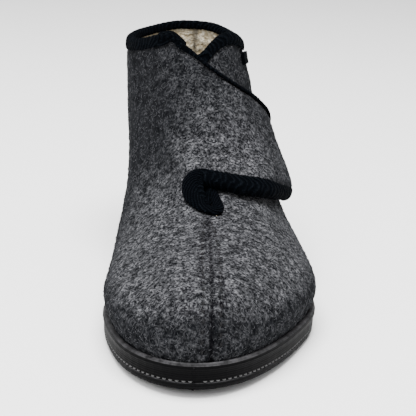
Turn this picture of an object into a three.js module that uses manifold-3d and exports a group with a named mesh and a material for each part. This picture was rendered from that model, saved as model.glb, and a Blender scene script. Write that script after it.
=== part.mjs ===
// A left felt house shoe with a wrap-over closure flap, in millimetres.
// Z is up, the toe points to -Y and the outer (lateral) side of the foot is +X.
import * as THREE from "three";
import { mergeVertices } from "three/addons/utils/BufferGeometryUtils.js";
import Module from "manifold-3d";

// Last: the form that the upper is shaped on
const LENGTH = 274; // heel to toe, along the edge where felt meets sole
const BALL_WIDTH = 105.5;
const HEEL_WIDTH = 65;
const TOE_HEIGHT = 34.5; // toe box above the sole's rim
const INSTEP_RISE = 20; // from the toe box to the bend of the instep
const SHAFT_RISE = 62; // from that bend to the collar's front
const COLLAR_HEIGHT = 145; // level above the floor that the collar line's dips are measured from
const COLLAR_WIDTH = 70;
const COLLAR_LEAN = -3.5; // how far the collar leans to the inner side
const ANKLE_WIDTH = 77.5;
const TIP_SHIFT = -14.3; // toe tip towards the big toe
const TOE_ROUND = 89; // length over which the toe rounds off
const HEEL_ROUND = 36;
const SIDE_BULGE = 5.2; // of the foot's sides over a plain arch
const HEEL_BULGE = 0.65; // share of that bulge at the heel
const SHAFT_SLOPE = 4.3; // rise over run of the front line, carried on above the collar

// Upper, flap and bindings
const WALL = 5; // felt with its pile lining
const FLAP_WALL = 5.8;
const FLAP_GAP = 1.6; // air between the flap and the quarter under it
const FLAP_REACH = 88; // from the shoe's centre line round the outer side
const FLAP_FLARE = 0.5; // how much more its lower edge and end stand off, of the flap's lift
const FLAP_SAG = 15; // how much lower the flap's end hangs than its root
const FLAP_FALL = 68; // fall of the flap's upper edge, from collar level to the end
const COLLAR_DIP = 23; // depth of the collar's V at the front
const NOTCH_DEPTH = 103; // collar level down the front to the flap's lower edge
const THROAT_DEPTH = 127.5; // collar level down the front to the end of the slit
const COLLAR_TAPE = 7; // how far the collar binding reaches over the felt
const FLAP_TAPE = 9.5;
const TAPE_TAPER = 0.3; // share of its width that the flap's binding loses towards the end
const TAPE_THICK = 1.1;
const ROLL = 0.7; // share of the binding's face leg that is rolled back along the flap's top
const TAPE_GAP = 0.4; // between a binding and the felt in it
const SQUEEZE = 0.9; // felt pressed down on each face under a binding
const LEG_INSET = 0.9; // from the end of a binding's leg to where the felt swells again
const STEP_RUN = 2.4; // length over which the felt swells again beside a binding
const RAMP_FAR = 34; // the medial quarter starts to lift this far from the centre line
const RAMP_NEAR = 5;
const TAB_WIDTH = 9;
const TAB_HEIGHT = 7;
const TAB_THICK = 2;

// Sole unit and insole
const RIM_HEIGHT = 13.5; // sole rim above the floor at the ball
const RIM_LIP = 3.5; // depth of the cup that the felt stands in
const RIM_OUT = 2.6; // sole side outside the felt
const TOE_SPRING = 4;
const HEEL_LIFT = 8;
const ARCH_RISE = 3;
const STITCH_LEVEL = 4; // stitch groove above the sole's lower edge
const STITCH_WIDTH = 1.5;
const LIP_HEIGHT = 4; // the rounded lip along the rim
const EDGE_BEVEL = 1.2;
const TREAD_BORDER = 9;
const TREAD_DEPTH = 2;
const TREAD_BAR = 7;
const TREAD_GAP = 4;
const RIM_GAP = 0.6; // between the felt and the lip that it stands in
const INSOLE_THICK = 5;
const INSOLE_GAP = 1.6;

const FIT = 0.3; // clearance between pieces that touch on the real shoe

// Mesh steps
const SIDE_STEPS = 15;
const TOE_ROWS = 22;
const FLAP_ROWS = 5;
const SOLE_STEPS = 48;

// Plan of the last: half width from ball and heel widths, and centre line shift
const PLAN = [
  { along: 0.0, ball: 0.0, heel: 0.98, ballShift: 0.0, tipShift: 0.0 },
  { along: 0.12, ball: 0.0, heel: 1.0, ballShift: 0.0, tipShift: 0.0 },
  { along: 0.27, ball: 0.1, heel: 0.93, ballShift: 0.02, tipShift: 0.0 },
  { along: 0.42, ball: 0.5, heel: 0.5, ballShift: 0.06, tipShift: 0.0 },
  { along: 0.55, ball: 0.825, heel: 0.16, ballShift: 0.065, tipShift: 0.0 },
  { along: 0.66, ball: 0.98, heel: 0.0, ballShift: 0.04, tipShift: 0.0 },
  { along: 0.74, ball: 1.0, heel: 0.0, ballShift: 0.0, tipShift: 0.04 },
  { along: 0.84, ball: 0.953, heel: 0.0, ballShift: 0.0, tipShift: 0.44 },
  { along: 0.93, ball: 0.92, heel: 0.0, ballShift: 0.0, tipShift: 0.8 },
  { along: 1.0, ball: 0.89, heel: 0.0, ballShift: 0.0, tipShift: 1.0 },
];

// Ridge: the top line of the shoe from the toe tip to the collar's front
const RIDGE = [
  { along: 1.0, toe: 0.0, instep: 0.0, shaft: 0.0 },
  { along: 0.9992, toe: 0.24, instep: 0.0, shaft: 0.0 },
  { along: 0.991, toe: 0.5, instep: 0.0, shaft: 0.0 },
  { along: 0.96, toe: 0.72, instep: 0.0, shaft: 0.0 },
  { along: 0.898, toe: 0.885, instep: 0.0, shaft: 0.0 },
  { along: 0.796, toe: 1.0, instep: 0.0, shaft: 0.0 },
  { along: 0.701, toe: 1.0, instep: 0.2, shaft: 0.0 },
  { along: 0.61, toe: 1.0, instep: 0.51, shaft: 0.0 },
  { along: 0.529, toe: 1.0, instep: 1.0, shaft: 0.0 },
  { along: 0.463, toe: 1.0, instep: 1.0, shaft: 0.29 },
  { along: 0.412, toe: 1.0, instep: 1.0, shaft: 0.6 },
  { along: 0.376, toe: 1.0, instep: 1.0, shaft: 1.0 },
  { along: 0.352, toe: 1.0, instep: 1.0, shaft: 1.25 },
];

// Back line of the heel and shaft: share of the height above the rim, place along
const BACK = [
  { up: 0.0, along: 0.002 },
  { up: 0.12, along: -0.01 },
  { up: 0.27, along: -0.011 },
  { up: 0.5, along: 0.006 },
  { up: 0.75, along: 0.019 },
  { up: 1.0, along: 0.0255 },
  { up: 1.4, along: 0.03 },
];

// Roundness of the foot's cross-section, as the power of its arch
const SECTION = [
  { along: 0.35, power: 2.02 },
  { along: 0.5, power: 2.02 },
  { along: 0.7, power: 2.12 },
  { along: 0.95, power: 2.46 },
];

// Collar line round each side, front to back, as shares of the dip at the front
const COLLAR_LINE = [
  { around: 0.0, medial: 0.36, lateral: 1.0 },
  { around: 0.05, medial: 0.36, lateral: 0.78 },
  { around: 0.09, medial: 0.37, lateral: 0.53 },
  { around: 0.13, medial: 0.39, lateral: 0.36 },
  { around: 0.19, medial: 0.455, lateral: 0.28 },
  { around: 0.27, medial: 0.56, lateral: 0.4 },
  { around: 0.43, medial: 0.7, lateral: 0.66 },
  { around: 0.62, medial: 0.75, lateral: 0.64 },
  { around: 0.82, medial: 0.69, lateral: 0.52 },
  { around: 1.0, medial: 0.53, lateral: 0.53 },
];

// Slit of the throat: place of its two edges, in shares of the binding's reach
const SLIT = [
  { down: 0.0, medial: -1.15, lateral: -0.25 },
  { down: 0.3, medial: -1.15, lateral: -0.1 },
  { down: 0.6, medial: -0.9, lateral: 0.1 },
  { down: 0.72, medial: -0.6, lateral: -0.05 },
  { down: 0.79, medial: -0.56, lateral: -0.15 },
  { down: 0.86, medial: -0.56, lateral: -0.15 },
  { down: 0.92, medial: -0.42, lateral: -0.05 },
  { down: 0.96, medial: -0.2, lateral: 0.14 },
  { down: 1.0, medial: 0.15, lateral: 0.45 },
];

// Flap outline: share of its reach, of its sag (lower edge), of its fall (upper edge)
const FLAP_LINE = [
  { reach: -0.13, low: 0.0, top: 0.13 },
  { reach: -0.05, low: 0.0, top: 0.225 },
  { reach: 0.0, low: 0.07, top: 0.29 },
  { reach: 0.05, low: 0.22, top: 0.36 },
  { reach: 0.21, low: 0.55, top: 0.55 },
  { reach: 0.36, low: 0.77, top: 0.67 },
  { reach: 0.5, low: 0.85, top: 0.78 },
  { reach: 0.7, low: 0.9, top: 0.89 },
  { reach: 0.86, low: 0.95, top: 0.96 },
  { reach: 1.0, low: 1.0, top: 1.0 },
];

const clamp = (x, low, high) => Math.min(Math.max(x, low), high);
const mix = (a, b, t) => a + (b - a) * t;

function ease(from, to, x) {
  const t = clamp((x - from) / (to - from), 0, 1);
  return t * t * (3 - 2 * t);
}

// A smooth curve through the rows of a table that never overshoots them
function curve(xs, ys) {
  const last = xs.length - 1;
  const run = (i) => xs[i + 1] - xs[i];
  const slope = (i) => (ys[i + 1] - ys[i]) / run(i);
  const tangents = xs.map((_, i) => {
    if (i === 0) return slope(0);
    if (i === last) return slope(last - 1);
    const before = slope(i - 1);
    const after = slope(i);
    if (before * after <= 0) return 0;
    const near = 2 * run(i) + run(i - 1);
    const far = run(i) + 2 * run(i - 1);
    return (3 * (run(i) + run(i - 1))) / (near / before + far / after);
  });
  return (value) => {
    const x = clamp(value, xs[0], xs[last]);
    let i = 0;
    while (i < last - 1 && x > xs[i + 1]) i += 1;
    const h = run(i);
    const t = (x - xs[i]) / h;
    return (
      ys[i] * (1 + 2 * t) * (1 - t) ** 2 +
      tangents[i] * h * t * (1 - t) ** 2 +
      ys[i + 1] * t * t * (3 - 2 * t) +
      tangents[i + 1] * h * t * t * (t - 1)
    );
  };
}

const column = (rows, key, value) =>
  curve(rows.map((row) => row[key]), rows.map(value));

// A polyline that is read by the distance along it
function rail(points) {
  const distances = [0];
  for (let i = 1; i < points.length; i += 1) {
    const [x0, z0] = points[i - 1];
    const [x1, z1] = points[i];
    distances.push(distances[i - 1] + Math.hypot(x1 - x0, z1 - z0));
  }
  const length = distances[distances.length - 1];
  const at = (distance) => {
    const d = clamp(distance, 0, length);
    let low = 0;
    let high = distances.length - 1;
    while (high - low > 1) {
      const middle = (low + high) >> 1;
      if (distances[middle] <= d) low = middle;
      else high = middle;
    }
    const t = (d - distances[low]) / (distances[high] - distances[low]);
    return [0, 1].map((axis) => mix(points[low][axis], points[high][axis], t));
  };
  return { at, length, points };
}

// Heights along the shoe
const planHalf = column(PLAN, "along", (r) => (r.ball * BALL_WIDTH + r.heel * HEEL_WIDTH) / 2);
const planShift = column(PLAN, "along", (r) => (r.ballShift * BALL_WIDTH) / 2 + r.tipShift * TIP_SHIFT);
const sectionPower = column(SECTION, "along", (r) => r.power);

const toeSpring = (along, start) => TOE_SPRING * clamp((along - start) / (1 - start), 0, 1) ** 2;
const rimAt = (a) => RIM_HEIGHT + toeSpring(a / LENGTH, 0.62) + HEEL_LIFT * ease(0.6, 0.1, a / LENGTH);
const seatAt = (a) => rimAt(a) - RIM_LIP;
const archAt = (p) => ARCH_RISE * ease(0.26, 0.4, p) * ease(0.58, 0.44, p);
const floorAt = (a) => toeSpring(a / LENGTH, 0.66) + archAt(a / LENGTH);

// Top line, from the collar's front down to the toe tip
const ridgeShape = (() => {
  const base = rimAt(LENGTH);
  const knots = RIDGE.map((row) => [
    row.along * LENGTH,
    base + row.toe * TOE_HEIGHT + row.instep * INSTEP_RISE + row.shaft * SHAFT_RISE,
  ]);
  const rough = rail(knots);
  const distances = [0];
  for (let i = 1; i < knots.length; i += 1) {
    distances.push(distances[i - 1] + Math.hypot(knots[i][0] - knots[i - 1][0], knots[i][1] - knots[i - 1][1]));
  }
  const along = curve(distances, knots.map((k) => k[0]));
  const up = curve(distances, knots.map((k) => k[1]));
  const fine = [];
  for (let d = 0; d < rough.length; d += 0.5) fine.push([along(d), up(d)]);
  fine.push(knots[knots.length - 1]);
  return { fine, collar: knots[knots.length - 2][1] };
})();
const ridge = rail(ridgeShape.fine.filter(([, z]) => z <= COLLAR_HEIGHT).reverse());

const backCurve = column(BACK, "up", (r) => r.along * LENGTH);
const backAt = (z) => {
  const rim = rimAt(0);
  return backCurve((Math.max(z, rim) - rim) / (ridgeShape.collar - rim));
};
const heelRail = (() => {
  const points = [];
  const start = seatAt(0) + FIT;
  for (let i = 0; i <= 240; i += 1) {
    const z = mix(start, COLLAR_HEIGHT, i / 240);
    points.push([backAt(z), z]);
  }
  return rail(points);
})();

// Height of the ridge above a place along the shoe, and its place at a height
function readRidge(value, from, to, beyond) {
  const points = ridge.points;
  const rising = points[0][from] < points[points.length - 1][from];
  const ordered = rising ? points : [...points].reverse();
  if (value <= ordered[0][from]) return beyond(value, ordered[0]);
  if (value >= ordered[ordered.length - 1][from]) return ordered[ordered.length - 1][to];
  let low = 0;
  let high = ordered.length - 1;
  while (high - low > 1) {
    const middle = (low + high) >> 1;
    if (ordered[middle][from] <= value) low = middle;
    else high = middle;
  }
  const t = (value - ordered[low][from]) / (ordered[high][from] - ordered[low][from] || 1);
  return mix(ordered[low][to], ordered[high][to], t);
}
const ridgeHeight = (a) => readRidge(a, 0, 1, (value, end) => end[1] + (end[0] - value) * SHAFT_SLOPE);
const ridgePlace = (z) => readRidge(z, 1, 0, (value, end) => end[0]);

const TOE_POWER = 2.03;
const HEEL_POWER = 2.3;
function planWidth(a) {
  const half = planHalf(a / LENGTH);
  const toe = clamp((a - (LENGTH - TOE_ROUND)) / TOE_ROUND, 0, 1);
  const heel = clamp((HEEL_ROUND - a) / HEEL_ROUND, 0, 1);
  return half * (1 - toe ** TOE_POWER) ** (1 / TOE_POWER) * (1 - heel ** HEEL_POWER) ** (1 / HEEL_POWER);
}

// Half width of the outer surface at a place along and a height: foot below, shaft above
const FOOT_TOP = 48;
const SHAFT_BASE = 112;
const NECK_FROM = 85; // the shaft narrows from here up to the collar
const LEAN_FROM = 100;
const LEAN_TO = 127;
const BULGE_SHARE = 0.7; // of the arch's height, the part that the bulge covers
const BULGE_FADE = 30; // half width under which the bulge fades out
const SHAFT_POWER = 2.25; // roundness of the shaft in plan
function halfWidth(a, z) {
  const place = clamp(a, 0, LENGTH);
  const p = place / LENGTH;
  const rim = rimAt(place);
  const top = ridgeHeight(a);
  const rise = clamp((z - rim) / Math.max(top - rim, 1e-3), 0, 1);
  const power = sectionPower(p);
  const back = backAt(z);
  const arch = planWidth(a - back * ease(0.5, 0.15, p)) * (1 - rise ** power) ** (1 / power);
  const swell = Math.sin(Math.PI * clamp(rise / BULGE_SHARE, 0, 1)) ** 1.2;
  const bulge = SIDE_BULGE * mix(HEEL_BULGE, 1, ease(0.3, 0.5, p)) * swell * clamp(arch / BULGE_FADE, 0, 1);
  const front = ridgePlace(z);
  const along = clamp(Math.abs(a - (front + back) / 2) / Math.max((front - back) / 2, 1e-3), 0, 1);
  const oval = mix(ANKLE_WIDTH, COLLAR_WIDTH, ease(NECK_FROM, ridgeShape.collar, z)) / 2;
  const shaft = oval * (1 - along ** SHAFT_POWER) ** (1 / SHAFT_POWER);
  return mix(arch + bulge, shaft, ease(FOOT_TOP, SHAFT_BASE, z));
}
const centreAt = (a, z) =>
  planShift(clamp(a / LENGTH, 0, 1)) * ease(SHAFT_BASE, FOOT_TOP, z) +
  COLLAR_LEAN * ease(LEAN_FROM, LEAN_TO, z);

// Each depth down the front has its place on the heel line, and under the foot below it
const HEEL_TURN = 0.2; // share of the way from notch to throat where the heel's end is
const HEEL_DEPTH = mix(NOTCH_DEPTH, THROAT_DEPTH, HEEL_TURN);
const HEEL_SHARE = 0.83; // of the back line, the part above the notch's level
const HEEL_START = 0.13; // of the length, the part of the sole's edge behind the throat's row
function backPlace(depth) {
  if (depth <= NOTCH_DEPTH) {
    return heelRail.at(heelRail.length * (1 - (HEEL_SHARE * depth) / NOTCH_DEPTH));
  }
  if (depth <= HEEL_DEPTH) {
    const rise = (HEEL_DEPTH - depth) / (HEEL_DEPTH - NOTCH_DEPTH);
    return heelRail.at(heelRail.length * (1 - HEEL_SHARE) * rise ** 1.3);
  }
  const start = LENGTH * HEEL_START;
  const a =
    depth <= THROAT_DEPTH
      ? mix(backAt(0), start, ((depth - HEEL_DEPTH) / (THROAT_DEPTH - HEEL_DEPTH)) ** 2)
      : mix(start, LENGTH, (depth - THROAT_DEPTH) / (ridge.length - THROAT_DEPTH));
  return [a, seatAt(a) + FIT];
}

// A point of the outer surface: depth down the front, and round from -1 (medial edge
// of the sole or middle of the back) over the ridge at 0 to 1 (lateral)
const EVEN_RUN = 40; // below the throat, the run over which the points change to even spacing
function surfacePoint(depth, round) {
  const from = backPlace(depth);
  const to = ridge.at(depth);
  const up = 1 - Math.abs(round);
  const even = (1 - Math.cos(Math.PI * up)) / 2;
  const share = mix(Math.sin((up * Math.PI) / 2), even, ease(THROAT_DEPTH + EVEN_RUN, NOTCH_DEPTH, depth));
  const a = mix(from[0], to[0], share);
  const z = mix(from[1], to[1], share);
  const side = round < 0 ? -1 : 1;
  return new THREE.Vector3(centreAt(a, z) + side * halfWidth(a, z), LENGTH / 2 - a, z);
}

// Distance across the shoe from the ridge, at one depth
const ARC_STEPS = 60;
const arcs = new Map();
function arcAt(depth) {
  const key = depth.toFixed(3);
  if (!arcs.has(key)) {
    const sides = [-1, 1].map((side) => {
      const points = [[0, 0]];
      let before = surfacePoint(depth, 0);
      for (let i = 1; i <= ARC_STEPS; i += 1) {
        const next = surfacePoint(depth, (side * i) / ARC_STEPS);
        points.push([i / ARC_STEPS, points[i - 1][1] + next.distanceTo(before)]);
        before = next;
      }
      return points;
    });
    arcs.set(key, sides);
  }
  return arcs.get(key);
}
function lookUp(points, value, from, to) {
  let i = 1;
  while (i < points.length - 1 && points[i][from] < value) i += 1;
  const span = points[i][from] - points[i - 1][from] || 1;
  return mix(points[i - 1][to], points[i][to], clamp((value - points[i - 1][from]) / span, 0, 1));
}
const roundAt = (depth, across) => {
  const side = across < 0 ? 0 : 1;
  return Math.sign(across) * lookUp(arcAt(depth)[side], Math.abs(across), 1, 0);
};
const acrossAt = (depth, round) => {
  const side = round < 0 ? 0 : 1;
  return Math.sign(round) * lookUp(arcAt(depth)[side], Math.abs(round), 0, 1);
};

const collarMedial = column(COLLAR_LINE, "around", (r) => r.medial * COLLAR_DIP);
const collarLateral = column(COLLAR_LINE, "around", (r) => r.lateral * COLLAR_DIP);
const slitMedial = column(SLIT, "down", (r) => r.medial * FLAP_TAPE);
const slitLateral = column(SLIT, "down", (r) => r.lateral * FLAP_TAPE);
const flapLow = column(FLAP_LINE, "reach", (r) => NOTCH_DEPTH + r.low * FLAP_SAG);
const flapTop = column(FLAP_LINE, "reach", (r) => r.top * FLAP_FALL);

// Lift of the medial quarter towards the flap: 0 on the last, 1 on the flap, and more
// where the flap's lower edge and its end stand off
const liftAt = (depth, across) => {
  const reach = across / FLAP_REACH;
  const ramp = ease(-RAMP_FAR, -RAMP_NEAR, across) * ease(THROAT_DEPTH, NOTCH_DEPTH, depth);
  const hang = ease(0.4, 1, depth / NOTCH_DEPTH) * ease(0.1, 0.4, reach);
  return ramp + FLAP_FLARE * Math.max(hang, ease(0.6, 1, reach));
};

// Rows of the upper, from the toe tip up to the collar. Above the notch a row is a
// share of the way from the notch to the collar's edge, or a fixed distance from one.
const ROW_POWER = 1.55; // rows lie closer together towards the toe tip
const rowList = (() => {
  const rows = [];
  for (let i = 0; i < TOE_ROWS; i += 1) {
    rows.push({ depth: mix(ridge.length, THROAT_DEPTH, (i / TOE_ROWS) ** ROW_POWER) });
  }
  rows.push({ depth: THROAT_DEPTH, throat: true });
  rows.push({ depth: THROAT_DEPTH - 1, tape: true });
  for (const share of [0.7, 0.45, 0.22]) rows.push({ depth: mix(HEEL_DEPTH, THROAT_DEPTH, share) });
  rows.push({ depth: HEEL_DEPTH, heel: true });
  rows.push({ depth: mix(HEEL_DEPTH, NOTCH_DEPTH, 0.3) });
  rows.push({ fromNotch: 0, notch: true });
  rows.push({ fromNotch: FLAP_TAPE });
  rows.push({ fromNotch: FLAP_TAPE + STEP_RUN });
  for (let i = 1; i < FLAP_ROWS; i += 1) rows.push({ share: i / FLAP_ROWS });
  rows.push({ fromEdge: COLLAR_TAPE + STEP_RUN });
  rows.push({ fromEdge: COLLAR_TAPE });
  rows.push({ fromEdge: 0 });
  return rows;
})();
const LAST_ROW = rowList.length - 1;
const THROAT_ROW = rowList.findIndex((row) => row.throat);
const TAPE_ROW = rowList.findIndex((row) => row.tape);
const HEEL_ROW = rowList.findIndex((row) => row.heel);
const NOTCH_ROW = rowList.findIndex((row) => row.notch);

function rowDepth(row, low, edge) {
  if (row.depth !== undefined) return row.depth;
  if (row.fromNotch !== undefined) return low - row.fromNotch;
  if (row.fromEdge !== undefined) return edge + row.fromEdge;
  return mix(low - FLAP_TAPE - STEP_RUN, edge + COLLAR_TAPE + STEP_RUN, row.share);
}

// A sheet holds points of the outer surface and four-sided faces between them
class Sheet {
  constructor() {
    this.points = [];
    this.faces = [];
    this.keys = new Map();
  }
  add(key, point, lift) {
    this.keys.set(key, this.points.length);
    this.points.push({ point, lift, squeezed: false, faceFull: false, footing: false });
  }
  share(key, other) {
    this.keys.set(key, this.keys.get(other));
  }
  at(key) {
    return this.keys.get(key);
  }
  face(piece, keys, band) {
    const corners = keys.map((key) => this.at(key));
    this.faces.push({ piece, corners: corners.filter((c, i) => c !== corners[(i + 1) % 4]), band });
    if (band) corners.forEach((c) => (this.points[c].squeezed = true));
  }
  // Cuts each face along its shorter diagonal, then works out the normals
  finish() {
    for (const face of this.faces) {
      if (face.corners.length < 4) continue;
      const [a, b, c, d] = face.corners.map((i) => this.points[i].point);
      if (a.distanceTo(c) > b.distanceTo(d)) face.corners.push(face.corners.shift());
    }
    this.points.forEach((p) => (p.normal = new THREE.Vector3()));
    for (const { corners } of this.faces) {
      const [a, b, c, d] = corners.map((i) => this.points[i].point);
      const across = new THREE.Vector3().subVectors(c, a);
      const along = new THREE.Vector3().subVectors(d || a, b);
      const normal = across.cross(along);
      corners.forEach((i) => this.points[i].normal.add(normal));
    }
    for (const p of this.points) {
      if (p.footing) p.normal.z = 0;
      p.normal.normalize();
    }
  }
  // Offsets of the felt's two faces from the last's surface
  outer(i) {
    const { lift, squeezed, faceFull } = this.points[i];
    return lift * (FLAP_GAP + FLAP_WALL) - (squeezed && !faceFull ? SQUEEZE : 0);
  }
  inner(i) {
    const { lift, squeezed } = this.points[i];
    return mix(-WALL, FLAP_GAP, lift) + (squeezed ? SQUEEZE : 0);
  }
  offset(i, distance) {
    const { point, normal } = this.points[i];
    return point.clone().addScaledVector(normal, distance);
  }
}

const SIDES = [
  { name: "L", sign: 1, slit: slitLateral, collar: collarLateral },
  { name: "M", sign: -1, slit: slitMedial, collar: collarMedial },
];
const key = (side, columnIndex, row) => side + columnIndex + "," + row;

// Place of one column of the upper: the slit's edge, the two columns of its binding,
// then even steps round to the sole or the back
const BLEND_SHARE = 0.75; // of the way from throat to toe tip, where all columns are even
function columnRound(side, index, depth) {
  const down = clamp(depth / THROAT_DEPTH, 0, 1);
  const edge = side.slit(down);
  const even = (side.sign * (index + 0.5)) / (SIDE_STEPS + 0.5);
  const reach = FLAP_TAPE * (1 - HOOK_TAPER * ease(NOTCH_DEPTH, THROAT_DEPTH, depth));
  const inset = [0, reach, reach + STEP_RUN];
  const banded = inset.map((d) => roundAt(depth, edge + side.sign * d));
  const start = banded[2];
  const placed =
    index < 3 ? banded[index] : mix(start, side.sign, (index - 2) / (SIDE_STEPS - 2));
  return mix(placed, even, ease(THROAT_DEPTH, mix(THROAT_DEPTH, ridge.length, BLEND_SHARE), depth));
}

// The hook of the flap's binding turns round where the slit's edge meets the flap's edge
const HOOK_TAPER = 0.1;
const HOOK_ROUND = 0.42;
const onHook = (side, c, r) =>
  side.name === "M" && (c === 1 || c === 2) && (r === NOTCH_ROW + 1 || r === NOTCH_ROW + 2);

function buildSheet() {
  const sheet = new Sheet();
  for (const side of SIDES) {
    for (let c = 0; c <= SIDE_STEPS; c += 1) {
      rowList.forEach((row, r) => {
        // The collar's edge height depends on the column, and the column on the depth
        let depth = rowDepth(row, NOTCH_DEPTH, side.collar(c / SIDE_STEPS));
        let round = columnRound(side, c, depth);
        for (let i = 0; i < 3; i += 1) {
          depth = rowDepth(row, NOTCH_DEPTH, side.collar(Math.abs(round)));
          round = columnRound(side, c, depth);
        }
        const name = key(side.name, c, r);
        if (r === 0 && side.name === "M") {
          sheet.share(name, key("L", c, r));
        } else if (c === SIDE_STEPS && r >= HEEL_ROW && side.name === "M") {
          sheet.share(name, key("L", c, r));
        } else {
          let across = acrossAt(depth, round);
          if (onHook(side, c, r)) {
            across += FLAP_TAPE * HOOK_ROUND;
            depth += FLAP_TAPE * HOOK_ROUND;
            round = roundAt(depth, across);
          }
          sheet.add(name, surfacePoint(depth, round), side.name === "M" ? liftAt(depth, across) : 0);
          sheet.points[sheet.at(name)].footing = c === SIDE_STEPS && r <= HEEL_ROW;
        }
      });
    }
  }
  return sheet;
}

// Faces of the upper, with those that a binding covers
function addUpperFaces(sheet) {
  for (let r = 0; r < LAST_ROW; r += 1) {
    const collar = r === LAST_ROW - 1;
    for (let c = 0; c < SIDE_STEPS; c += 1) {
      const quarter = c === 0 && r >= NOTCH_ROW;
      const hook = c === 0 && r >= TAPE_ROW && r <= NOTCH_ROW;
      const square = (side) => [
        key(side, c, r), key(side, c + 1, r), key(side, c + 1, r + 1), key(side, c, r + 1),
      ];
      sheet.face("upper", square("L"), collar || quarter ? "collar" : "");
      sheet.face("upper", square("M").reverse(), collar ? "collar" : hook ? "flap" : "");
    }
    if (r < THROAT_ROW) {
      sheet.face("upper", [key("M", 0, r), key("L", 0, r), key("L", 0, r + 1), key("M", 0, r + 1)], "");
    }
  }
}

// Columns of the flap: from its root on the medial quarter to its end
const FLAP_COLUMNS = [0.1, 0.2, 0.3, 0.4, 0.5, 0.6, 0.72, 0.86, 1];
const flapInsets = [FLAP_TAPE + STEP_RUN, FLAP_TAPE, 0];
const FLAP_LAST = FLAP_COLUMNS.length + 2;
const CORNER_ROUND = 0.45;

function flapAcross(index, root) {
  const inner = FLAP_REACH - flapInsets[0];
  if (index <= FLAP_COLUMNS.length) return mix(root, inner, FLAP_COLUMNS[index - 1]);
  return FLAP_REACH - flapInsets[index - FLAP_COLUMNS.length];
}

function addFlap(sheet) {
  for (let r = NOTCH_ROW; r <= LAST_ROW; r += 1) {
    sheet.share(key("F", 0, r), key("M", 0, r));
    const rootDepth = rowDepth(rowList[r], NOTCH_DEPTH, flapTop(FLAP_LINE[0].reach));
    const root = slitMedial(clamp(rootDepth / THROAT_DEPTH, 0, 1));
    for (let c = 1; c <= FLAP_LAST; c += 1) {
      let across = flapAcross(c, root);
      const place = across / FLAP_REACH;
      let depth = rowDepth(rowList[r], flapLow(place), flapTop(place));
      if (rowList[r].fromNotch) depth += FLAP_TAPE * TAPE_TAPER * ease(0.1, 0.7, place);
      // The two corners of the flap's end are rounded off
      if (c === FLAP_LAST && (r === NOTCH_ROW || r === LAST_ROW)) {
        across -= FLAP_TAPE * CORNER_ROUND;
        depth += (r === NOTCH_ROW ? -1 : 1) * FLAP_TAPE * CORNER_ROUND;
      }
      sheet.add(key("F", c, r), surfacePoint(depth, roundAt(depth, across)), liftAt(depth, across));
    }
  }
  // Along the flap's upper edge the binding is rolled to the back, so its face stays full
  for (let c = 1; c < FLAP_LAST - 1; c += 1) {
    sheet.points[sheet.at(key("F", c, LAST_ROW - 1))].faceFull = true;
  }
  for (let r = NOTCH_ROW; r < LAST_ROW; r += 1) {
    for (let c = 0; c < FLAP_LAST; c += 1) {
      const edge = r === NOTCH_ROW || r === LAST_ROW - 1 || c === FLAP_LAST - 1;
      sheet.face(
        "flap",
        [key("F", c, r), key("F", c + 1, r), key("F", c + 1, r + 1), key("F", c, r + 1)],
        edge ? "flap" : "",
      );
    }
  }
}

// The same polygon seen from its other side, cut into the same triangles
const turned = ([first, ...others]) => [first, ...others.reverse()];

function geometryFrom(points, polygons) {
  const positions = [];
  const indices = [];
  points.forEach((p) => positions.push(p.x, p.y, p.z));
  for (const polygon of polygons) {
    for (let i = 1; i < polygon.length - 1; i += 1) {
      indices.push(polygon[0], polygon[i], polygon[i + 1]);
    }
  }
  const geometry = new THREE.BufferGeometry();
  geometry.setAttribute("position", new THREE.Float32BufferAttribute(positions, 3));
  geometry.setIndex(indices);
  return geometry;
}

// Edges that only one face has, in that face's direction
function openEdges(faces) {
  const seen = new Map();
  for (const { corners } of faces) {
    corners.forEach((from, i) => {
      const to = corners[(i + 1) % corners.length];
      seen.set(from + ">" + to, [from, to]);
    });
  }
  return [...seen.values()].filter(([from, to]) => !seen.has(to + ">" + from));
}

// A closed wall between two faces of a sheet
function wallGeometry(sheet, faces, outer, inner) {
  const used = [...new Set(faces.flatMap((f) => f.corners))];
  const order = new Map(used.map((v, i) => [v, i]));
  const count = used.length;
  const points = [...used.map(outer), ...used.map(inner)];
  const polygons = [];
  for (const { corners } of faces) {
    const ring = corners.map((c) => order.get(c));
    polygons.push(ring);
    polygons.push(turned(ring.map((i) => i + count)));
  }
  for (const [from, to] of openEdges(faces)) {
    const a = order.get(from);
    const b = order.get(to);
    polygons.push([b, a, a + count, b + count]);
  }
  return geometryFrom(points, polygons);
}

// Direction out of a sheet's edge at each of its edge points
function edgeDirections(sheet, edges) {
  const sums = new Map();
  for (const [from, to] of edges) {
    const along = new THREE.Vector3().subVectors(sheet.points[to].point, sheet.points[from].point);
    for (const v of [from, to]) {
      const out = along.clone().cross(sheet.points[v].normal).normalize();
      if (!sums.has(v)) sums.set(v, []);
      sums.get(v).push(out);
    }
  }
  const directions = new Map();
  for (const [v, outs] of sums) {
    const sum = outs.reduce((total, o) => total.add(o), new THREE.Vector3()).normalize();
    const open = Math.max(sum.dot(outs[0]), 0.7);
    directions.set(v, sum.divideScalar(open));
  }
  return directions;
}

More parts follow.
